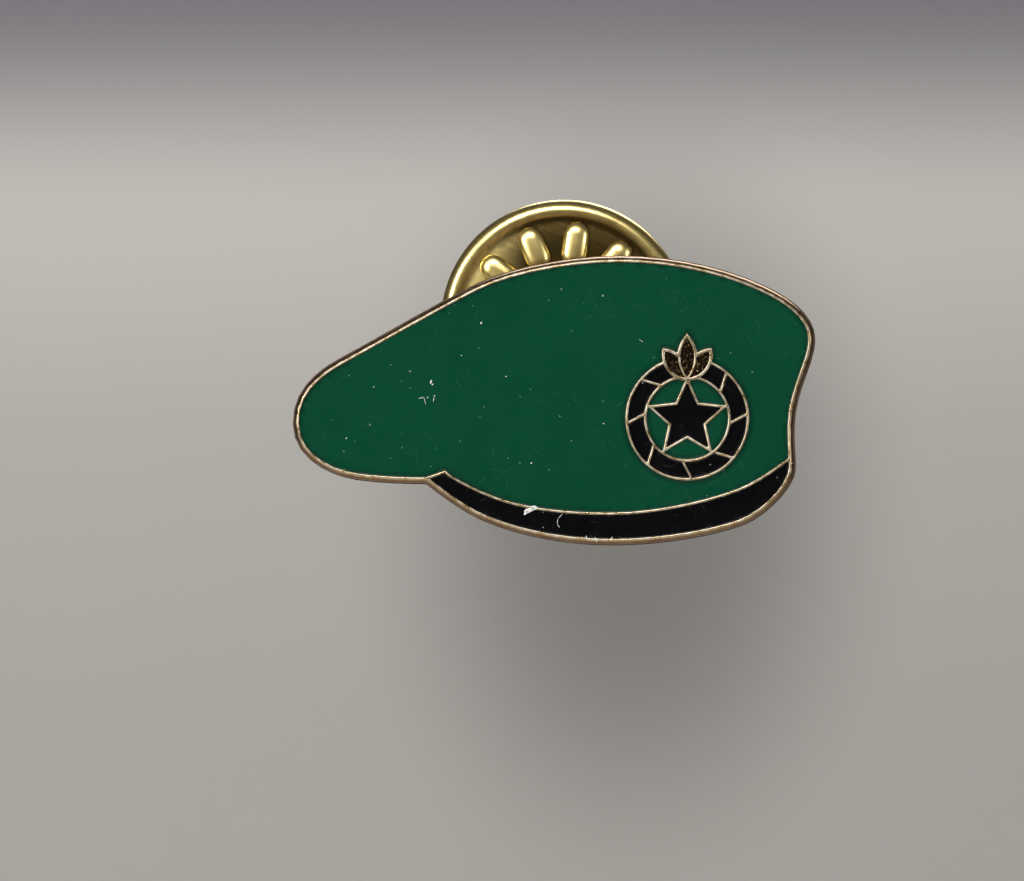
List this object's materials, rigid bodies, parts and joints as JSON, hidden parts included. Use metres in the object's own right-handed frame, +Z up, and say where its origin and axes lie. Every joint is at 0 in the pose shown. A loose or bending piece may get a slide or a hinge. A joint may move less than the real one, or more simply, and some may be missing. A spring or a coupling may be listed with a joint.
{
  "type": "enamel lapel badge",
  "caption": "Beret-shaped enamelled metal badge with raised rim and round emblem, on a tack post held by a butterfly clutch.",
  "frame": {"origin": "on the tack post's axis, at the flat back of the badge", "axes": "+Y from the badge's back along the post, into the cloth; +Z up as worn; the face looks along -Y, and +X is to the right for someone who looks at the face"},
  "size_m": [0.025, 0.0112, 0.0167],
  "materials": {
    "gilt_blank": "die-struck brass with thin gilt plating, copper brown on the rounded edge",
    "green_enamel": "dark green soft enamel, glossy",
    "black_enamel": "black soft enamel, glossy",
    "post_brass": "turned brass, polished",
    "solder": "dull tin solder",
    "clutch_brass": "pressed sheet brass, bright",
    "spring_wire": "drawn spring wire"
  },
  "bodies": {
    "badge": {"badge_blank": "gilt_blank", "crown_enamel": "green_enamel", "headband_enamel": "black_enamel", "star_enamel": "black_enamel", "ring_enamel_1": "black_enamel", "ring_enamel_2": "black_enamel", "ring_enamel_3": "black_enamel", "ring_enamel_4": "black_enamel", "ring_enamel_5": "black_enamel", "ring_enamel_6": "black_enamel", "ring_enamel_7": "black_enamel", "ring_enamel_8": "black_enamel", "window_enamel_1": "green_enamel", "window_enamel_2": "green_enamel", "window_enamel_3": "green_enamel", "window_enamel_4": "green_enamel", "window_enamel_5": "green_enamel", "tack_post": "post_brass", "solder_fillet": "solder"},
    "clutch": {"clutch_base": "clutch_brass", "clutch_bridge": "clutch_brass", "clutch_spring": "spring_wire"},
    "left_wing": {"wing_left": "clutch_brass"},
    "right_wing": {"wing_right": "clutch_brass"}
  },
  "joints": [
    {"name": "clutch_slide", "type": "slide", "parent": "badge", "child": "clutch", "axis": [0, 1, 0], "range_m": [0, 0.012]},
    {"name": "wing_right_pinch", "type": "hinge", "parent": "clutch", "child": "right_wing", "pos_m": [0.00135, 0.0062, 0], "axis": [0, 0, 1], "range_deg": [0, 9], "stiffness_Nm_per_rad": 0.002, "deforming": ["clutch_spring"]},
    {"name": "wing_left_pinch", "type": "hinge", "parent": "clutch", "child": "left_wing", "pos_m": [-0.00135, 0.0062, 0], "axis": [0, 0, 1], "range_deg": [-9, 0], "stiffness_Nm_per_rad": 0.002}
  ],
  "couplings": [
    {"joint": "wing_left_pinch", "follows": "wing_right_pinch", "ratio": -1}
  ]
}
